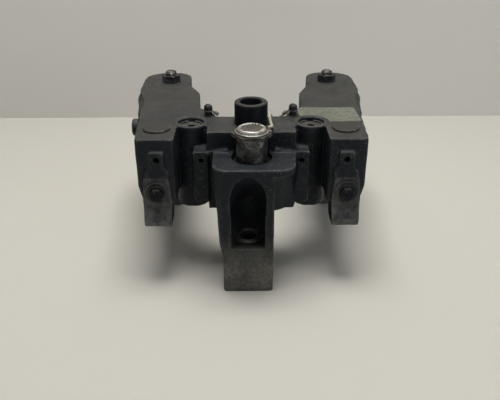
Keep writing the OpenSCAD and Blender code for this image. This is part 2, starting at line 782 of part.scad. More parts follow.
module terminal_post(side) {
    color([0.14, 0.13, 0.12]) translate([side * terminal_x, terminal_y, top_z]) difference() {
        rotate_extrude() polygon([
            [0, 0], [post_r + 0.6, 0], [post_r + 0.6, 1], [post_r, 1.4], [post_r, post_h], [0, post_h],
        ]);
        translate([0, 0, -over]) cylinder(r = 2 + fit, h = post_h + 2 * over);
    }
}

module terminal_screw(side) {
    color([0.25, 0.24, 0.22]) translate([side * terminal_x, terminal_y, terminal_z + terminal_t]) {
        translate([0, 0, -terminal_t - post_h - 8]) cylinder(r = 2, h = 8 + post_h + terminal_t + 1);
        difference() {
            rotate_extrude() polygon([
                [0, 0], [3.9, 0], [3.9, 2.6], [3.3, 4.2], [2, 5.1], [0, 5.3],
            ]);
            rotate([0, 0, 35]) translate([-5, -0.6, 3.2]) cube([10, 1.2, 3]);
        }
    }
}

// ---- Plug, plate and rivets ----

module flank_plug() {
    color([0.2, 0.2, 0.19]) translate([-flank_x, flank_plug_y, flank_plug_z]) rotate([0, -90, 0])
        difference() {
            rotate_extrude() polygon([
                [0, -9], [5, -9], [5, 0.6], [flank_plug_r, 0.6], [flank_plug_r, flank_plug_out - 1],
                [flank_plug_r - 1, flank_plug_out], [0, flank_plug_out],
            ]);
            translate([0, 0, flank_plug_out - 4]) cylinder(r = 4.6, h = 5, $fn = 6);
        }
}

module nameplate() {
    outline = rounded([
        [44, 41, 1], [68, 26, 1], [98.4, 26, 2.5], [97.2, 64, 2.5], [47, 64, 1.5], [43.5, 60.5, 1.5],
    ]);
    color([0.5, 0.5, 0.44]) translate([0, 0, top_z]) linear_extrude(plate_t) difference() {
        polygon(outline);
        translate([valve_x, valve_y]) circle(r = boss_r + 1.4);
    }
}

module nameplate_rivets() {
    for (p = [[48.6, 59.6], [94.4, 29.8]]) color([0.4, 0.4, 0.36])
        translate([p[0], p[1], top_z + plate_t]) rotate_extrude()
            polygon([[0, 0], [1.8, 0], [1.6, 0.6], [0.9, 1], [0, 1.1]]);
}

housing();
spacer_tube();
plug_disc(-1);  // plug_disc_left
plug_disc(1);  // plug_disc_right
master_piston(-1);  // master_piston_left
master_piston(1);  // master_piston_right
leaf_spring(-1);  // leaf_spring_left
leaf_spring(1);  // leaf_spring_right
leaf_washer(-1);  // leaf_washer_left
leaf_washer(1);  // leaf_washer_right
leaf_bolt(-1);  // leaf_bolt_left
leaf_bolt(1);  // leaf_bolt_right
control_valve(-1);  // control_valve_left
control_valve(1);  // control_valve_right
valve_spring(-1);  // valve_spring_left
valve_spring(1);  // valve_spring_right
valve_cap(-1);  // valve_cap_left
valve_cap(1);  // valve_cap_right
retaining_ring(-1);  // retaining_ring_left
retaining_ring(1);  // retaining_ring_right
slave_piston(-1);  // slave_piston_left
slave_piston(1);  // slave_piston_right
slave_spring(-1);  // slave_spring_left
slave_spring(1);  // slave_spring_right
spring_retainer(-1);  // spring_retainer_left
spring_retainer(1);  // spring_retainer_right
slave_circlip(-1);  // slave_circlip_left
slave_circlip(1);  // slave_circlip_right
adjusting_screw(-1);  // adjusting_screw_left
adjusting_screw(1);  // adjusting_screw_right
locknut(-1);  // locknut_left
locknut(1);  // locknut_right
solenoid_can();
solenoid_hex();
solenoid_rim();
solenoid_disc();
solenoid_wire_ring();
solenoid_seals();
solenoid_armature();
lead_lug();
lead_wire();
ring_terminal(-1);  // ring_terminal_left
ring_terminal(1);  // ring_terminal_right
terminal_post(-1);  // terminal_post_left
terminal_post(1);  // terminal_post_right
terminal_screw(-1);  // terminal_screw_left
terminal_screw(1);  // terminal_screw_right
flank_plug();
nameplate();
nameplate_rivets();
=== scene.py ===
"""Hydraulic compression-brake housing on a pale floor: an oily black casting with its
pistons, leaf springs, control valves and solenoid. All lengths are in metres."""

import json
import math
import random

import bmesh
import bpy
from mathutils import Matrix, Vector

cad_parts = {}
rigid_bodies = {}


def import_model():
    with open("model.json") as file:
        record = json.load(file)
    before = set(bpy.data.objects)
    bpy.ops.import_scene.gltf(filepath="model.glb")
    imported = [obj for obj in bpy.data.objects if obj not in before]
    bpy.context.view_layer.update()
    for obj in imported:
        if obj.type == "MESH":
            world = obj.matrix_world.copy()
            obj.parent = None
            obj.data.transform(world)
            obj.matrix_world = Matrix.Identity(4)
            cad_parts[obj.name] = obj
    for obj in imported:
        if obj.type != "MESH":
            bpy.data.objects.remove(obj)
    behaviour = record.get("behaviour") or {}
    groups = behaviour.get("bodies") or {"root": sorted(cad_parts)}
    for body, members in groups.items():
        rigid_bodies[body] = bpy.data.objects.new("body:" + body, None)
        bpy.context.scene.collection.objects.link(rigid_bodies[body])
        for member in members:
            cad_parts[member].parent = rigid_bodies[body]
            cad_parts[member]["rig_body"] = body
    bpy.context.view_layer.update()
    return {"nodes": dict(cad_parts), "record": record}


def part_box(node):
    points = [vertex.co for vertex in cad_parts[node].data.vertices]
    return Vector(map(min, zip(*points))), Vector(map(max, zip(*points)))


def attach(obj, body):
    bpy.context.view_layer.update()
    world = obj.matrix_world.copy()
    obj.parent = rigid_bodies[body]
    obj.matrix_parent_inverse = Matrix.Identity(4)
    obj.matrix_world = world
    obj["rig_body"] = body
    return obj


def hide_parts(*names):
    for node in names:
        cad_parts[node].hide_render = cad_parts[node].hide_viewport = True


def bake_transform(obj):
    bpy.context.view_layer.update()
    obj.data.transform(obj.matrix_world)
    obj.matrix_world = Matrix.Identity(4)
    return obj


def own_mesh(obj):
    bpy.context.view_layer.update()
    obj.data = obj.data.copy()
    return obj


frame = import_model()
NODES = frame["nodes"]
MM = 0.001
SIDES = (("left", -1), ("right", 1))

# ---- Camera and stage ----

PICTURE_WIDTH = 500
FOCAL_PIXELS = 600
SENSOR = 36.0
CAMERA_PLACE = Vector((-8.8, -476, 321)) * MM
CAMERA_PITCH = 27.6
CAMERA_YAW = 0.9
WALL_Y = 0.42
FLOOR_COLOUR = (0.45, 0.437, 0.40)
WALL_COLOUR = (0.69, 0.665, 0.63)
STAGE_REACH, STAGE_THICK = 3, 0.02


def make_camera():
    lens = bpy.data.cameras.new("camera")
    lens.sensor_width = SENSOR
    lens.lens = FOCAL_PIXELS * SENSOR / PICTURE_WIDTH
    lens.clip_start = 0.01
    camera = bpy.data.objects.new("camera", lens)
    camera.location = CAMERA_PLACE
    camera.rotation_euler = (math.radians(90 - CAMERA_PITCH), 0, math.radians(-CAMERA_YAW))
    bpy.context.collection.objects.link(camera)
    bpy.context.scene.camera = camera


def principled(name, colour, roughness=0.5, metallic=0.0, specular=0.5):
    """A node material with plain values on its shader; returns the material, nodes, links and shader."""
    material = bpy.data.materials.new(name)
    material.use_nodes = True
    tree = material.node_tree
    shader = tree.nodes["Principled BSDF"]
    shader.inputs["Base Color"].default_value = (*colour, 1)
    shader.inputs["Roughness"].default_value = roughness
    shader.inputs["Metallic"].default_value = metallic
    shader.inputs["Specular IOR Level"].default_value = specular
    return material, tree, shader


def stage_material(name, colour, glow):
    """A matte backdrop that the camera and mirror-like surfaces see a little brighter."""
    material, tree, shader = principled(name, colour, 0.9, 0.0, 0.1)
    path = tree.nodes.new("ShaderNodeLightPath")
    seen = tree.nodes.new("ShaderNodeMath")
    seen.operation = "MAXIMUM"
    tree.links.new(path.outputs["Is Camera Ray"], seen.inputs[0])
    tree.links.new(path.outputs["Is Glossy Ray"], seen.inputs[1])
    strength = tree.nodes.new("ShaderNodeMath")
    strength.operation = "MULTIPLY"
    strength.inputs[1].default_value = glow
    tree.links.new(seen.outputs[0], strength.inputs[0])
    shader.inputs["Emission Color"].default_value = (*colour, 1)
    tree.links.new(strength.outputs[0], shader.inputs["Emission Strength"])
    return material


def box_mesh(name, low, high):
    mesh = bpy.data.meshes.new(name)
    box = bmesh.new()
    bmesh.ops.create_cube(box, size=1)
    bmesh.ops.scale(box, vec=Vector(high) - Vector(low), verts=box.verts)
    bmesh.ops.translate(box, vec=(Vector(low) + Vector(high)) / 2, verts=box.verts)
    box.to_mesh(mesh)
    box.free()
    return mesh


def make_stage():
    slabs = (
        ("floor", (-STAGE_REACH, -STAGE_REACH, -STAGE_THICK), (STAGE_REACH, WALL_Y, 0),
         stage_material("pale_floor", FLOOR_COLOUR, 0.02)),
        ("wall", (-STAGE_REACH, WALL_Y, -STAGE_THICK), (STAGE_REACH, WALL_Y + STAGE_THICK, STAGE_REACH),
         stage_material("pale_wall", WALL_COLOUR, 0.04)),
    )
    for name, low, high, material in slabs:
        piece = bpy.data.objects.new(name, box_mesh(name, low, high))
        piece.data.materials.append(material)
        bpy.context.collection.objects.link(piece)


def area_light(name, place, aim, size, power, colour=(1, 1, 1)):
    data = bpy.data.lights.new(name, "AREA")
    data.shape = "RECTANGLE"
    data.size, data.size_y = size
    data.energy = power
    data.color = colour
    lamp = bpy.data.objects.new(name, data)
    lamp.location = place
    lamp.rotation_euler = (Vector(aim) - Vector(place)).to_track_quat("-Z", "Y").to_euler()
    bpy.context.collection.objects.link(lamp)


def make_lights():
    area_light("ceiling", (0.0, 0.12, 1.6), (0, 0.05, 0.1), (0.85, 0.7), 32, (1.0, 0.985, 0.95))
    area_light("window", (1.1, -1.2, 0.55), (0, 0.0, 0.1), (0.9, 0.9), 4.6, (0.84, 0.93, 1.0))
    area_light("front_fill", (-0.3, -1.5, 0.8), (0, 0, 0.08), (1.0, 0.8), 0.7, (0.90, 0.96, 1.0))
    world = bpy.data.worlds.new("room")
    bpy.context.scene.world = world
    world.use_nodes = True
    background = world.node_tree.nodes["Background"]
    background.inputs["Color"].default_value = (0.86, 0.92, 1.0, 1)
    background.inputs["Strength"].default_value = 0.10


# ---- Shared surface effects, as node groups ----

def new_group(name, inputs, outputs):
    """An empty shader node group; inputs are (name, kind, default) and outputs (name, kind)."""
    group = bpy.data.node_groups.new(name, "ShaderNodeTree")
    for label, kind, default in inputs:
        socket = group.interface.new_socket(label, in_out="INPUT", socket_type=kind)
        socket.default_value = default
    for label, kind in outputs:
        group.interface.new_socket(label, in_out="OUTPUT", socket_type=kind)
    return group, group.nodes.new("NodeGroupInput"), group.nodes.new("NodeGroupOutput")


def add(tree, kind, settings=(), values=()):
    """A node of that kind with its settings and its unlinked input values."""
    node = tree.nodes.new(kind)
    for key, value in dict(settings).items():
        setattr(node, key, value)
    for key, value in dict(values).items():
        node.inputs[key].default_value = value
    return node


def noise(tree, scale, detail=4.0, rough=0.6, coordinates=None):
    node = add(tree, "ShaderNodeTexNoise", (), {"Scale": scale, "Detail": detail, "Roughness": rough})
    if coordinates is not None:
        tree.links.new(coordinates, node.inputs["Vector"])
    return node.outputs["Fac"]


def math_node(tree, operation, a, b=None, clamp=False):
    node = add(tree, "ShaderNodeMath", {"operation": operation, "use_clamp": clamp})
    for place, value in enumerate((a, b)):
        if value is None:
            continue
        if isinstance(value, (int, float)):
            node.inputs[place].default_value = value
        else:
            tree.links.new(value, node.inputs[place])
    return node.outputs[0]


def ramp(tree, value, low, high):
    """0 at low, 1 at high, straight between, clamped."""
    node = add(tree, "ShaderNodeMapRange", {"clamp": True}, {"From Min": low, "From Max": high})
    tree.links.new(value, node.inputs["Value"])
    return node.outputs["Result"]


def object_place(tree):
    return tree.nodes.new("ShaderNodeTexCoord").outputs["Object"]


def build_cast_skin():
    """Sand-cast grain: fine pits and a coarser orange-peel, as a height and a speckle mask."""
    group, start, end = new_group(
        "cast_skin",
        [("Grain", "NodeSocketFloat", 900.0), ("Swell", "NodeSocketFloat", 160.0)],
        [("Height", "NodeSocketFloat"), ("Speckle", "NodeSocketFloat")])
    place = object_place(group)
    fine = noise(group, 900, 3, 0.65, place)
    group.links.new(start.outputs["Grain"], fine.node.inputs["Scale"])
    coarse = noise(group, 160, 5, 0.6, place)
    group.links.new(start.outputs["Swell"], coarse.node.inputs["Scale"])
    height = math_node(group, "ADD", math_node(group, "MULTIPLY", fine, 0.4), coarse)
    group.links.new(height, end.inputs["Height"])
    group.links.new(ramp(group, fine, 0.45, 0.62), end.inputs["Speckle"])
    return group


def build_settled_dust():
    """Mask of dust: it lies on faces that look up, thins out in patches and gathers low down."""
    group, start, end = new_group(
        "settled_dust",
        [("Cover", "NodeSocketFloat", 0.8), ("Walls", "NodeSocketFloat", 0.1),
         ("Foot", "NodeSocketFloat", 0.3)],
        [("Mask", "NodeSocketFloat")])
    geometry = group.nodes.new("ShaderNodeNewGeometry")
    normal = group.nodes.new("ShaderNodeSeparateXYZ")
    group.links.new(geometry.outputs["Normal"], normal.inputs[0])
    place = object_place(group)
    height = group.nodes.new("ShaderNodeSeparateXYZ")
    group.links.new(place, height.inputs[0])
    up = ramp(group, normal.outputs["Z"], 0.25, 0.95)
    patches = ramp(group, noise(group, 38, 6, 0.62, place), 0.32, 0.62)
    fine = ramp(group, noise(group, 260, 5, 0.75, place), 0.38, 0.62)
    low = ramp(group, height.outputs["Z"], 0.058, 0.02)
    lying = math_node(group, "MULTIPLY", up, start.outputs["Cover"])
    drawn_out = add(group, "ShaderNodeMapping", (), {"Scale": (1.0, 1.0, 0.14)})
    group.links.new(place, drawn_out.inputs["Vector"])
    streaks = ramp(group, noise(group, 95, 4, 0.65, drawn_out.outputs["Vector"]), 0.47, 0.66)
    walls = math_node(group, "MULTIPLY", start.outputs["Walls"], math_node(
        group, "ADD", math_node(group, "MULTIPLY", streaks, 4.5), 0.5))
    standing = math_node(group, "ADD", walls, math_node(group, "MULTIPLY", low, start.outputs["Foot"]))
    both = math_node(group, "MAXIMUM", lying, standing)
    broken = math_node(group, "MULTIPLY", both, math_node(group, "ADD", math_node(
        group, "MULTIPLY", patches, 0.6), 0.4))
    mask = math_node(group, "MULTIPLY", broken, math_node(group, "ADD", math_node(
        group, "MULTIPLY", fine, 0.55), 0.5), clamp=True)
    group.links.new(mask, end.inputs["Mask"])
    return group


def build_oil_film():
    """Mask of wet oil: broad runs that pool on walls, with soft broken edges."""
    group, start, end = new_group(
        "oil_film", [("Amount", "NodeSocketFloat", 0.5)], [("Mask", "NodeSocketFloat")])
    place = object_place(group)
    stretch = add(group, "ShaderNodeMapping", (), {"Scale": (1.0, 1.0, 0.45)})
    group.links.new(place, stretch.inputs["Vector"])
    runs = noise(group, 30, 5, 0.6, stretch.outputs["Vector"])
    threshold = math_node(group, "SUBTRACT", 0.78, math_node(group, "MULTIPLY", start.outputs["Amount"], 0.5))
    wet = math_node(group, "MULTIPLY", math_node(group, "SUBTRACT", runs, threshold), 6, clamp=True)
    group.links.new(wet, end.inputs["Mask"])
    return group


# Where the painted shade lies: the hollow round the solenoid
POCKET_HALF = 64 * MM
POCKET_BACK, POCKET_FRONT = 0.010, -0.046
POCKET_TOP, POCKET_FOOT = 0.131, 0.112
POCKET_WANDER = 0.016
POCKET_FADE_SIDE, POCKET_FADE_FRONT, POCKET_FADE_BACK = 0.008, 0.012, 0.006
POCKET_FADE_TOP, POCKET_FADE_FOOT = 0.003, 0.03


def build_painted_shade_pocket():
    """Mask of the hollow round the solenoid, kept free of dust so that it stays dark: painted shade in that
    recess.
    """
    group, start, end = new_group(
        "painted_shade_pocket", [("Amount", "NodeSocketFloat", 1.0)], [("Mask", "NodeSocketFloat")])
    place = object_place(group)
    parts = group.nodes.new("ShaderNodeSeparateXYZ")
    group.links.new(place, parts.inputs[0])
    centred = math_node(group, "SUBTRACT", noise(group, 55, 4, 0.6, place), 0.5)
    wander = math_node(group, "MULTIPLY", centred, POCKET_WANDER)
    sideways = math_node(group, "ABSOLUTE", parts.outputs["X"])
    across = ramp(group, sideways, POCKET_HALF, POCKET_HALF - POCKET_FADE_SIDE)
    depth = math_node(group, "ADD", parts.outputs["Y"], wander)
    front = ramp(group, depth, POCKET_FRONT, POCKET_FRONT + POCKET_FADE_FRONT)
    back = ramp(group, depth, POCKET_BACK, POCKET_BACK - POCKET_FADE_BACK)
    under = ramp(group, parts.outputs["Z"], POCKET_TOP + POCKET_FADE_TOP, POCKET_TOP)
    over = ramp(group, parts.outputs["Z"], POCKET_FOOT - POCKET_FADE_FOOT, POCKET_FOOT)
    inside = math_node(group, "MULTIPLY", math_node(group, "MULTIPLY", across, front),
                       math_node(group, "MULTIPLY", back, math_node(group, "MULTIPLY", under, over)))
    mask = math_node(group, "MULTIPLY", inside, start.outputs["Amount"], clamp=True)
    group.links.new(mask, end.inputs["Mask"])
    return group


def build_bright_grit():
    """Mask of fine light grit that catches in a sand-cast skin."""
    group, start, end = new_group(
        "bright_grit", [("Amount", "NodeSocketFloat", 0.5), ("Scale", "NodeSocketFloat", 1100.0)],
        [("Mask", "NodeSocketFloat")])
    place = object_place(group)
    grit = noise(group, 1100, 2, 0.5, place)
    group.links.new(start.outputs["Scale"], grit.node.inputs["Scale"])
    patches = ramp(group, noise(group, 45, 4, 0.6, place), 0.38, 0.6)
    spots = ramp(group, grit, 0.56, 0.68)
    gathered = math_node(group, "MULTIPLY", spots, patches)
    mask = math_node(group, "MULTIPLY", gathered, start.outputs["Amount"], clamp=True)
    group.links.new(mask, end.inputs["Mask"])
    return group


def build_edge_wear():
    """Mask of rubbed edges, from the surface's own sharpness, broken up by noise."""
    group, start, end = new_group(
        "edge_wear", [("Amount", "NodeSocketFloat", 0.5)], [("Mask", "NodeSocketFloat")])
    geometry = group.nodes.new("ShaderNodeNewGeometry")
    sharp = ramp(group, geometry.outputs["Pointiness"], 0.512, 0.575)
    place = object_place(group)
    broken = ramp(group, noise(group, 210, 5, 0.7, place), 0.35, 0.65)
    mask = math_node(group, "MULTIPLY", math_node(group, "MULTIPLY", sharp, broken),
                     start.outputs["Amount"], clamp=True)
    group.links.new(mask, end.inputs["Mask"])
    return group


def build_rust_bloom():
    """Blotches of rust or dried residue as a colour and a mask."""
    group, start, end = new_group(
        "rust_bloom",
        [("Scale", "NodeSocketFloat", 90.0), ("Spread", "NodeSocketFloat", 0.5)],
        [("Mask", "NodeSocketFloat"), ("Color", "NodeSocketColor")])
    place = object_place(group)
    blotch = noise(group, 90, 7, 0.7, place)
    group.links.new(start.outputs["Scale"], blotch.node.inputs["Scale"])
    threshold = math_node(group, "SUBTRACT", 0.75, math_node(group, "MULTIPLY", start.outputs["Spread"], 0.4))
    mask = math_node(group, "MULTIPLY", math_node(group, "SUBTRACT", blotch, threshold), 7, clamp=True)
    tint = add(group, "ShaderNodeMix", {"data_type": "RGBA"})
    tint.inputs[6].default_value = (0.030, 0.020, 0.014, 1)
    tint.inputs[7].default_value = (0.115, 0.085, 0.060, 1)
    group.links.new(noise(group, 300, 4, 0.6, place), tint.inputs[0])
    group.links.new(mask, end.inputs["Mask"])
    group.links.new(tint.outputs[2], end.inputs["Color"])
    return group


def build_flaked_plating():
    """Mask of bright plating left in ragged patches, strongest on the side that faces forward."""
    group, start, end = new_group(
        "flaked_plating",
        [("Amount", "NodeSocketFloat", 0.5), ("Scale", "NodeSocketFloat", 110.0)],
        [("Mask", "NodeSocketFloat")])
    place = object_place(group)
    ragged = noise(group, 110, 8, 0.75, place)
    group.links.new(start.outputs["Scale"], ragged.node.inputs["Scale"])
    geometry = group.nodes.new("ShaderNodeNewGeometry")
    normal = group.nodes.new("ShaderNodeSeparateXYZ")
    group.links.new(geometry.outputs["Normal"], normal.inputs[0])
    facing = ramp(group, normal.outputs["Y"], 0.2, -0.9)
    cut = math_node(group, "SUBTRACT", 0.74, math_node(group, "MULTIPLY", start.outputs["Amount"], 0.3))
    cut = math_node(group, "SUBTRACT", cut, math_node(group, "MULTIPLY", facing, 0.06))
    mask = math_node(group, "MULTIPLY", math_node(group, "SUBTRACT", ragged, cut), 9, clamp=True)
    group.links.new(mask, end.inputs["Mask"])
    return group


CAST_SKIN = build_cast_skin()
SETTLED_DUST = build_settled_dust()
OIL_FILM = build_oil_film()
EDGE_WEAR = build_edge_wear()
RUST_BLOOM = build_rust_bloom()
FLAKED_PLATING = build_flaked_plating()
PAINTED_SHADE_POCKET = build_painted_shade_pocket()
BRIGHT_GRIT = build_bright_grit()


def use(tree, group, **values):
    node = tree.nodes.new("ShaderNodeGroup")
    node.node_tree = group
    for key, value in values.items():
        node.inputs[key].default_value = value
    return node


def mixed(tree, mask, under, over):
    """Colour over on top of colour under where mask is 1. Either may be a plain colour."""
    node = add(tree, "ShaderNodeMix", {"data_type": "RGBA"})
    tree.links.new(mask, node.inputs[0])
    for place, colour in ((6, under), (7, over)):
        if isinstance(colour, tuple):
            node.inputs[place].default_value = (*colour, 1)
        else:
            tree.links.new(colour, node.inputs[place])
    return node.outputs[2]


def between(tree, mask, low, high):
    """Value low where mask is 0 and high where it is 1; low may be linked."""
    node = add(tree, "ShaderNodeMix", {"data_type": "FLOAT"})
    tree.links.new(mask, node.inputs[0])
    for place, value in ((2, low), (3, high)):
        if isinstance(value, (int, float)):
            node.inputs[place].default_value = value
        else:
            tree.links.new(value, node.inputs[place])
    return node.outputs[0]


def bump(tree, shader, height, strength, distance):
    node = add(tree, "ShaderNodeBump", (), {"Strength": strength, "Distance": distance})
    tree.links.new(height, node.inputs["Height"])
    tree.links.new(node.outputs["Normal"], shader.inputs["Normal"])


GRIT_SCALE = 480.0
GRIT_BRIGHT, FOOT_BRIGHT = 1.5, 2.9
OIL_DARKENS = 0.45
DUST_DULLS, DULLEST = 0.2, 0.85
SKIN_DEPTH = 0.0006


def scaled(colour, factor):
    return tuple(factor * value for value in colour)


def weathered(name, paint, dust, rubbed, cover, walls=0.1, foot=0.0, oil=0.5, wear=0.5, grain=900.0,
              swell=160.0, relief=0.5, dry=0.62, wet=0.28, metallic=0.0, rust=0.0, specular=0.4,
              flakes=0.0, plating=(0.2, 0.19, 0.17), grit=0.0, painted_shade=0.0):
    """Paint or metal under dust, oil and rubbed edges and, if asked, rust, flaked plating or grit.

    cover, walls and foot say how much dust lies on top faces, walls and the part's foot; grain,
    swell and relief are the skin's fineness, waviness and depth; dry and wet are its roughness
    with and without oil; pocket keeps the hollow round the solenoid clear of dust, which paints shade there."""
    material, tree, shader = principled(name, paint, dry, metallic, specular)
    skin = use(tree, CAST_SKIN, Grain=grain, Swell=swell)
    dusty = use(tree, SETTLED_DUST, Cover=cover, Walls=walls, Foot=0.0)
    oily = use(tree, OIL_FILM, Amount=oil)
    worn = use(tree, EDGE_WEAR, Amount=wear)
    dark = scaled(paint, 0.55)
    colour = mixed(tree, skin.outputs["Speckle"], dark, paint)
    if rust:
        bloom = use(tree, RUST_BLOOM, Spread=rust)
        colour = mixed(tree, bloom.outputs["Mask"], colour, bloom.outputs["Color"])
    if flakes:
        bright = use(tree, FLAKED_PLATING, Amount=flakes)
        colour = mixed(tree, bright.outputs["Mask"], colour, plating)
    lying = dusty.outputs["Mask"]
    if foot:
        low = use(tree, SETTLED_DUST, Cover=0.0, Walls=0.0, Foot=foot)
        colour = mixed(tree, low.outputs["Mask"], colour, scaled(dust, FOOT_BRIGHT))
    if grit:
        caught = use(tree, BRIGHT_GRIT, Amount=grit, Scale=GRIT_SCALE)
        colour = mixed(tree, caught.outputs["Mask"], colour, scaled(dust, GRIT_BRIGHT))
    # painted shade: the hollow round the solenoid keeps its dark paint and gets no dust
    if painted_shade:
        shaded_hollow = use(tree, PAINTED_SHADE_POCKET, Amount=painted_shade).outputs["Mask"]
        lying = math_node(tree, "MULTIPLY", lying, math_node(tree, "SUBTRACT", 1.0, shaded_hollow))
    colour = mixed(tree, lying, colour, dust)
    soaked = math_node(tree, "MULTIPLY", oily.outputs["Mask"], OIL_DARKENS)
    colour = mixed(tree, soaked, colour, dark)
    colour = mixed(tree, worn.outputs["Mask"], colour, rubbed)
    tree.links.new(colour, shader.inputs["Base Color"])
    roughness = between(tree, lying, dry, min(dry + DUST_DULLS, DULLEST))
    roughness = between(tree, oily.outputs["Mask"], roughness, wet)
    tree.links.new(roughness, shader.inputs["Roughness"])
    bump(tree, shader, skin.outputs["Height"], relief, SKIN_DEPTH)
    return material


def steel(name, colour, roughness, cover=0.3):
    """Machined steel: turned or ground grain under an uneven oily film."""
    return weathered(
        name, paint=colour, dust=(0.02, 0.018, 0.015), rubbed=tuple(min(1, 2.2 * value) for value in colour),
        cover=cover, walls=0.15, oil=0.4, wear=0.5, grain=1400.0, swell=300.0, relief=0.15,
        dry=roughness, wet=roughness * 0.6, metallic=0.85, rust=0.25)


FINISHES = {
    # the cast iron's pocket value paints shade into the hollow round the solenoid
    "cast_iron_oily": dict(
        paint=(0.0088, 0.0135, 0.0200), dust=(0.050, 0.047, 0.040), rubbed=(0.15, 0.148, 0.138),
        cover=0.9, walls=0.07, foot=1.2, oil=0.42, wear=0.9, grain=950.0, swell=170.0, relief=0.8,
        dry=0.5, wet=0.3, specular=0.20, grit=0.75, painted_shade=0.9),
    "black_steel": dict(
        paint=(0.006, 0.007, 0.011), dust=(0.055, 0.053, 0.048), rubbed=(0.16, 0.157, 0.145),
        cover=0.75, walls=0.015, oil=0.5, wear=0.9, grain=1500.0, swell=300.0, relief=0.2,
        dry=0.42, wet=0.26, specular=0.12),
    "dull_steel": dict(
        paint=(0.019, 0.018, 0.017), dust=(0.040, 0.037, 0.031), rubbed=(0.26, 0.25, 0.22),
        cover=0.7, walls=0.12, oil=0.5, wear=0.9, grain=1300.0, swell=260.0, relief=0.25,
        dry=0.5, wet=0.3, metallic=0.1, rust=0.3, specular=0.25),
    "spring_steel_oily": dict(
        paint=(0.024, 0.026, 0.027), dust=(0.072, 0.071, 0.066), rubbed=(0.2, 0.197, 0.185),
        cover=0.4, walls=0.45, oil=0.3, wear=0.9, grain=1200.0, swell=220.0, relief=0.3,
        dry=0.5, wet=0.3, metallic=0.1, rust=0.15, specular=0.3),
    "rusty_can": dict(
        paint=(0.018, 0.018, 0.019), dust=(0.05, 0.047, 0.042), rubbed=(0.2, 0.19, 0.17),
        cover=0.4, walls=0.08, oil=0.5, wear=0.8, grain=800.0, swell=200.0, relief=0.5,
        dry=0.42, wet=0.22, metallic=0.2, rust=0.35, flakes=0.62, plating=(0.27, 0.26, 0.24)),
    "insulator": dict(
        paint=(0.036, 0.032, 0.027), dust=(0.075, 0.070, 0.060), rubbed=(0.12, 0.11, 0.095),
        cover=0.5, walls=0.2, oil=0.6, wear=0.3, grain=900.0, swell=200.0, relief=0.5,
        dry=0.7, wet=0.45, rust=0.85),
    "seal_rubber": dict(
        paint=(0.012, 0.012, 0.012), dust=(0.03, 0.03, 0.03), rubbed=(0.03, 0.03, 0.03),
        cover=0.2, walls=0.1, oil=0.5, wear=0.1, grain=1500.0, swell=400.0, relief=0.1,
        dry=0.6, wet=0.35),
    "black_moulding": dict(
        paint=(0.010, 0.010, 0.011), dust=(0.05, 0.047, 0.042), rubbed=(0.09, 0.088, 0.08),
        cover=0.5, walls=0.15, oil=0.3, wear=0.5, grain=1200.0, swell=300.0, relief=0.2,
        dry=0.5, wet=0.3),
    "tinned_brass": dict(
        paint=(0.11, 0.105, 0.085), dust=(0.09, 0.085, 0.07), rubbed=(0.40, 0.38, 0.32),
        cover=0.4, walls=0.15, oil=0.4, wear=0.9, grain=1300.0, swell=260.0, relief=0.2,
        dry=0.4, wet=0.25, metallic=0.5, rust=0.4, flakes=0.6, plating=(0.34, 0.33, 0.29)),
    "wire_cover": dict(
        paint=(0.46, 0.43, 0.35), dust=(0.30, 0.28, 0.23), rubbed=(0.55, 0.52, 0.45),
        cover=0.3, walls=0.1, oil=0.25, wear=0.3, grain=1500.0, swell=400.0, relief=0.15,
        dry=0.6, wet=0.4, rust=0.3),
    "crimped_edge": dict(
        paint=(0.13, 0.125, 0.11), dust=(0.05, 0.045, 0.035), rubbed=(0.62, 0.60, 0.54),
        cover=0.25, walls=0.1, oil=0.45, wear=1.0, grain=700.0, swell=260.0, relief=0.4,
        dry=0.42, wet=0.25, metallic=0.6, rust=0.35, flakes=0.9, plating=(0.46, 0.45, 0.41)),
    "rubbed_screw": dict(
        paint=(0.04, 0.04, 0.04), dust=(0.07, 0.066, 0.06), rubbed=(0.34, 0.33, 0.31),
        cover=0.5, walls=0.05, oil=0.4, wear=1.0, grain=1300.0, swell=260.0, relief=0.2,
        dry=0.38, wet=0.24, metallic=0.5, rust=0.2),
}

PLATE_RULES = 11
PLATE_FRONT, PLATE_BACK = 0.026, 0.064
PRINT_COLOUR = (0.070, 0.080, 0.065)
PRINT_STRENGTH = 0.6


def blank_plate_material():
    """Lacquered plate with rows of thin printed rules, worn down to the metal in places."""
    material = weathered(
        "blank_plate", paint=(0.108, 0.119, 0.088), dust=(0.075, 0.075, 0.060), rubbed=(0.4, 0.4, 0.33),
        cover=0.5, walls=0.1, oil=0.4, wear=0.8, grain=1200.0, swell=150.0, relief=0.2,
        dry=0.5, wet=0.3, metallic=0.2, rust=0.5)
    tree = material.node_tree
    shader = tree.nodes["Principled BSDF"]
    plate = shader.inputs["Base Color"].links[0].from_socket
    parts = tree.nodes.new("ShaderNodeSeparateXYZ")
    place = object_place(tree)
    tree.links.new(place, parts.inputs[0])
    rows = math_node(tree, "MULTIPLY", math_node(tree, "SUBTRACT", parts.outputs["Y"], PLATE_FRONT),
                     PLATE_RULES / (PLATE_BACK - PLATE_FRONT))
    middle = math_node(tree, "ABSOLUTE", math_node(tree, "SUBTRACT", math_node(tree, "FRACT", rows), 0.5))
    rule = ramp(tree, middle, 0.30, 0.22)
    stretch = add(tree, "ShaderNodeMapping", (), {"Scale": (1.0, 0.25, 1.0)})
    tree.links.new(place, stretch.inputs["Vector"])
    broken = ramp(tree, noise(tree, 520, 3, 0.6, stretch.outputs["Vector"]), 0.44, 0.52)
    worn = ramp(tree, noise(tree, 60, 4, 0.6, place), 0.40, 0.62)
    printed = math_node(tree, "MULTIPLY", math_node(tree, "MULTIPLY", rule, broken), worn)
    printed = math_node(tree, "MULTIPLY", printed, PRINT_STRENGTH)
    tree.links.new(mixed(tree, printed, plate, PRINT_COLOUR), shader.inputs["Base Color"])
    return material


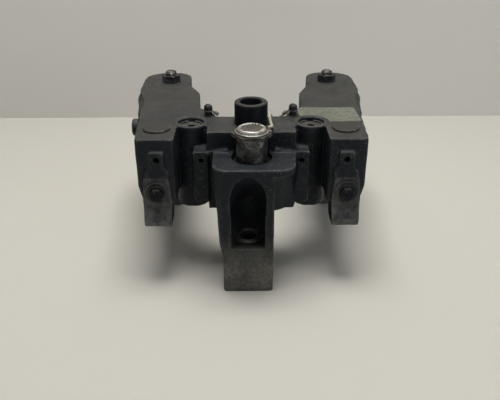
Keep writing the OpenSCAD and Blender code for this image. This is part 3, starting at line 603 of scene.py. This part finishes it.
def make_materials():
    made = {name: weathered(name, **finish) for name, finish in FINISHES.items()}
    made["ground_steel"] = steel("ground_steel", (0.40, 0.39, 0.37), 0.3)
    made["spring_wire"] = steel("spring_wire", (0.50, 0.49, 0.45), 0.34, cover=0.1)
    made["blank_plate"] = blank_plate_material()
    return made


# ---- Mesh helpers ----

WELD_GAP = 0.002 * MM
FLAT_ANGLE, SHARP_ANGLE = math.radians(1.5), math.radians(35)


def linked_object(name, mesh, body):
    piece = bpy.data.objects.new(name, mesh)
    bpy.context.collection.objects.link(piece)
    if body:
        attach(piece, body)
    return piece


def modifier(piece, kind, **settings):
    added = piece.modifiers.new(kind.lower(), kind)
    for key, value in settings.items():
        setattr(added, key, value)


def applied(piece):
    """Bakes a piece's modifiers into its mesh."""
    graph = bpy.context.evaluated_depsgraph_get()
    mesh = bpy.data.meshes.new_from_object(piece.evaluated_get(graph))
    piece.modifiers.clear()
    piece.data = mesh


def smooth(mesh):
    mesh.polygons.foreach_set("use_smooth", [True] * len(mesh.polygons))


def painted(piece, material):
    piece.data.materials.clear()
    piece.data.materials.append(material)


def break_edges(piece, width):
    """Joins split corners and flat faces, then rounds the sharp edges that are left."""
    modifier(piece, "WELD", merge_threshold=WELD_GAP)
    modifier(piece, "DECIMATE", decimate_type="DISSOLVE", angle_limit=FLAT_ANGLE)
    modifier(piece, "BEVEL", width=width, segments=2, limit_method="ANGLE", angle_limit=SHARP_ANGLE,
             harden_normals=False)


def skinned(name, rings, closed):
    """A mesh over rings of points; the last ring joins the first if closed, or both ends are capped."""
    form = bmesh.new()
    loops = [[form.verts.new(point) for point in ring] for ring in rings]
    after = loops[1:] + loops[:1] if closed else loops[1:]
    for here, there in zip(loops, after):
        for place in range(len(here)):
            over = (place + 1) % len(here)
            form.faces.new((here[place], there[place], there[over], here[over]))
    if not closed:
        form.faces.new(loops[0])
        form.faces.new(loops[-1])
    bmesh.ops.recalc_face_normals(form, faces=form.faces)
    mesh = bpy.data.meshes.new(name)
    form.to_mesh(mesh)
    form.free()
    return mesh


def round_point(radius, turn, z):
    """The point at that radius, at a share of a full turn."""
    around = 2 * math.pi * turn
    return Vector((radius * math.cos(around), radius * math.sin(around), z))


def body_of(node):
    return NODES[node]["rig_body"]


# ---- The casting: the CAD body with cast radii and a sand-cast skin ----

CAST_VOXEL = 1.0 * MM
CAST_SKIN_DEPTH = 0.22 * MM
CAST_SWELL_DEPTH = 0.5 * MM
CAST_SMOOTHING = 7
CAST_KEEP = 0.33
ARM_WAIST = 2.3 * MM
WAIST_RISE, WAIST_FALL = (0.056, 0.074), (0.100, 0.128)
WAIST_ACROSS = (0.094, 0.108)


def eased(value, low, high):
    """0 below low, 1 above high, with a smooth rise between."""
    share = min(max((value - low) / (high - low), 0.0), 1.0)
    return share * share * (3 - 2 * share)


def cloud(name, size, depth):
    texture = bpy.data.textures.new(name, "CLOUDS")
    texture.noise_scale = size
    texture.noise_depth = depth
    return texture


def make_casting(materials):
    source = NODES["housing"]
    piece = linked_object("casting", source.data.copy(), body_of("housing"))
    modifier(piece, "REMESH", mode="VOXEL", voxel_size=CAST_VOXEL * 1)
    modifier(piece, "SMOOTH", factor=0.5, iterations=CAST_SMOOTHING)
    for texture, depth in ((cloud("cast_swell", 0.016, 2), CAST_SWELL_DEPTH),
                           (cloud("cast_grain", 0.0028, 1), CAST_SKIN_DEPTH)):
        modifier(piece, "DISPLACE", texture=texture, strength=depth, mid_level=0.5, texture_coords="LOCAL")
    modifier(piece, "DECIMATE", ratio=CAST_KEEP)
    applied(piece)
    low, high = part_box("housing")
    for vertex in piece.data.vertices:
        x, y, z = vertex.co
        along = eased(y, *WAIST_RISE) * (1 - eased(y, *WAIST_FALL))
        vertex.co.x -= math.copysign(ARM_WAIST * along * eased(abs(x), *WAIST_ACROSS), x)
        for axis in range(3):
            vertex.co[axis] = min(max(vertex.co[axis], low[axis]), high[axis])
    painted(piece, materials["cast_iron_oily"])
    smooth(piece.data)
    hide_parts("housing")


# ---- The solenoid's crimped rim ----

SOLENOID_PLACE = Vector((0, -8, 0)) * MM
RIM_FOOT, RIM_TOP = 140.0 * MM, 144.25 * MM
RIM_OUT, RIM_IN, RIM_LIP = 12.1 * MM, 10.0 * MM, 8.7 * MM
RIM_STEPS = 96
TONGUE_STEPS = 4
TONGUE_REACH, TONGUE_GAP, TONGUE_RAGGED = 0.9 * MM, 0.9 * MM, 0.2
RIM_SEED = 41


def make_crimped_rim(materials):
    """The can's edge, rolled over the disc in ragged tongues."""
    draw = random.Random(RIM_SEED)
    rings = []
    tongue = 0.0
    for step in range(RIM_STEPS):
        if step % TONGUE_STEPS == 0:
            tongue = draw.uniform(0.0, 1.0)
        ragged = draw.uniform(-TONGUE_RAGGED, TONGUE_RAGGED) * MM
        gap = TONGUE_GAP if step % TONGUE_STEPS == TONGUE_STEPS - 1 else 0.0
        lip = RIM_LIP + (1 - tongue) * TONGUE_REACH + ragged + gap
        top = RIM_TOP - (0.1 + 0.6 * (1 - tongue)) * MM
        profile = (
            (RIM_OUT - 0.2 * MM, RIM_FOOT), (RIM_OUT, RIM_FOOT + 0.3 * MM), (RIM_OUT, RIM_TOP - 1.5 * MM),
            (RIM_OUT - 0.5 * MM, RIM_TOP - 0.5 * MM), (RIM_OUT - 1.3 * MM, RIM_TOP),
            (lip + 0.5 * MM, top), (lip, top - 0.2 * MM), (lip + 0.2 * MM, top - 0.55 * MM),
            (RIM_IN, RIM_TOP - 1.1 * MM), (RIM_IN, RIM_FOOT),
        )
        rings.append([SOLENOID_PLACE + round_point(radius, step / RIM_STEPS, z) for radius, z in profile])
    mesh = skinned("crimped_rim", rings, closed=True)
    piece = linked_object("crimped_rim", mesh, body_of("solenoid_rim"))
    painted(piece, materials["crimped_edge"])
    smooth(piece.data)
    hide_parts("solenoid_rim")


# ---- The threaded adjusting screws ----

SCREW_R = 6.0 * MM
SCREW_PITCH = 1.5 * MM
THREAD_DEPTH = 0.8 * MM
SCREW_CHAMFER = 1.5 * MM
SCREW_PLACE_X, SCREW_PLACE_Y = 82.5 * MM, 150 * MM
SCREW_FOOT, THREAD_FOOT, THREAD_TOP, SCREW_TOP = 52.3 * MM, 118 * MM, 147.5 * MM, 148.5 * MM
SCREW_AROUND = 32
THREAD_ROWS = 6
SLOT_TURN = math.radians(24)
SLOT_WIDTH, SLOT_DEPTH = 1.7 * MM, 2.6 * MM


def screw_radius(radius, threaded, z, share):
    """The radius at that height and share of a turn, in the thread or on a plain part."""
    if not threaded:
        return radius
    turn = ((z - THREAD_FOOT) / SCREW_PITCH - share) % 1.0
    return radius - THREAD_DEPTH * abs(2 * turn - 1)


def make_threaded_screw(side, sign, materials):
    """A slotted set screw: plain in the casting, threaded where it stands out of the nut."""
    place = Vector((sign * SCREW_PLACE_X, SCREW_PLACE_Y, 0))
    row_height = SCREW_PITCH / THREAD_ROWS
    root = SCREW_R - THREAD_DEPTH
    thread_rows = int((THREAD_TOP - THREAD_FOOT) / SCREW_PITCH * THREAD_ROWS)
    rows = [(SCREW_FOOT, SCREW_R - SCREW_CHAMFER, False), (SCREW_FOOT + SCREW_CHAMFER, root, False)]
    rows += [(THREAD_FOOT + step * row_height, SCREW_R, True) for step in range(thread_rows + 1)]
    rows += [(SCREW_TOP - 0.75 * MM, root, False), (SCREW_TOP, SCREW_R - SCREW_CHAMFER, False)]
    turns = [step / SCREW_AROUND for step in range(SCREW_AROUND)]
    rings = [[place + round_point(screw_radius(radius, threaded, z, turn), turn, z) for turn in turns]
             for z, radius, threaded in rows]
    reach = Vector((2 * SCREW_R, SLOT_WIDTH / 2, SLOT_DEPTH))
    cutter = bpy.data.objects.new("slot_cutter", box_mesh("slot_cutter", -reach, reach))
    cutter.location = place + Vector((0, 0, SCREW_TOP))
    cutter.rotation_euler = (0, 0, sign * SLOT_TURN)
    bpy.context.collection.objects.link(cutter)
    node = f"adjusting_screw_{side}"
    name = f"threaded_screw_{side}"
    piece = linked_object(name, skinned(name, rings, closed=False), body_of(node))
    modifier(piece, "BOOLEAN", operation="DIFFERENCE", object=cutter, solver="EXACT")
    bpy.context.view_layer.update()
    applied(piece)
    bpy.data.objects.remove(cutter)
    painted(piece, materials["rubbed_screw"])
    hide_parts(node)


# ---- The bolt seat's turned rings, painted bright as a highlight ----

SEAT_PLACE = Vector((-3.4, -14.5, 44.1)) * MM
SEAT_RINGS = ((8.4, 0.5), (10.4, 0.45), (12.2, 0.4))
SEAT_AROUND, SEAT_ACROSS = 72, 8
SEAT_FLATNESS = 0.7


def make_seat_highlight_rings(materials):
    """Turned rings on the channel's floor, given a bright finish that paints in their highlight."""
    for number, (radius, thick) in enumerate(SEAT_RINGS, 1):
        section = [round_point(thick * MM, step / SEAT_ACROSS, 0) for step in range(SEAT_ACROSS)]
        rings = [[SEAT_PLACE + round_point(radius * MM + point.x, step / SEAT_AROUND, SEAT_FLATNESS * point.y)
                  for point in section] for step in range(SEAT_AROUND)]
        name = f"bolt_seat_highlight_ring_{number}"
        piece = linked_object(name, skinned(name, rings, closed=True), "casting")
        # bright metal finish on the rings: painted highlight
        painted(piece, materials["crimped_edge"])
        smooth(piece.data)


# ---- CAD pieces that keep their shape, with broken edges ----

# How far each kind's sharp edges are rounded, in millimetres
EDGES = {
    "spacer_tube": 0.4, "plug_disc": 0.35, "leaf_spring": 0.2, "leaf_washer": 0.15, "leaf_bolt": 0.25,
    "valve_cap": 0.2, "retaining_ring": 0.25, "locknut": 0.3, "solenoid_can": 0.3, "solenoid_hex": 0.35,
    "solenoid_disc": 0.3, "flank_plug": 0.3, "terminal_screw": 0.2, "ring_terminal": 0.15,
    "slave_circlip": 0.2, "spring_retainer": 0.3, "nameplate": 0.1, "lead_lug": 0.1,
}


def dress_nodes(materials, replaced):
    slots = {part["node"]: part["material_slot"] for part in frame["record"]["subparts"]}
    for node, piece in NODES.items():
        if node in replaced:
            continue
        painted(piece, materials[slots[node]])
        edge = EDGES.get(node.removesuffix("_left").removesuffix("_right"))
        if edge:
            break_edges(piece, edge * MM)


# ---- Coil and leaf springs ----

# The spring, the piston against it, the height of its fixed end and the piston's travel
COIL_SPRINGS = (
    ("valve_spring", "control_valve", 130.7 * MM, 5 * MM),
    ("slave_spring", "slave_piston", 8.7 * MM, 8 * MM),
)


def make_coil_spring(side, kind, materials):
    """A copy of the CAD coil in spring wire, standing in for the CAD piece."""
    node = f"{kind}_{side}"
    piece = linked_object(f"coil_{node}", NODES[node].data.copy(), body_of(node))
    painted(piece, materials["spring_wire"])
    smooth(piece.data)
    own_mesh(piece)
    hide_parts(node)


def make_leaf_spring(side, materials):
    """A bolted U leaf with broken edges, baked in place and attached to no body."""
    node = f"leaf_spring_{side}"
    piece = linked_object(f"u_{node}", NODES[node].data.copy(), None)
    break_edges(piece, EDGES["leaf_spring"] * MM)
    applied(piece)
    painted(piece, materials["spring_steel_oily"])
    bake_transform(piece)
    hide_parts(node)


REMADE_ON_EACH_SIDE = ("adjusting_screw", "leaf_spring", "valve_spring", "slave_spring")

make_camera()
make_stage()
make_lights()
MATERIALS = make_materials()
make_casting(MATERIALS)
make_crimped_rim(MATERIALS)
make_seat_highlight_rings(MATERIALS)
replaced = {"housing", "solenoid_rim"}
for side, sign in SIDES:
    make_threaded_screw(side, sign, MATERIALS)
    make_leaf_spring(side, MATERIALS)
    for kind, mover, fixed_z, travel in COIL_SPRINGS:
        make_coil_spring(side, kind, MATERIALS)
    replaced |= {f"{kind}_{side}" for kind in REMADE_ON_EACH_SIDE}
dress_nodes(MATERIALS, replaced)

bpy.context.scene.view_settings.view_transform = "Standard"
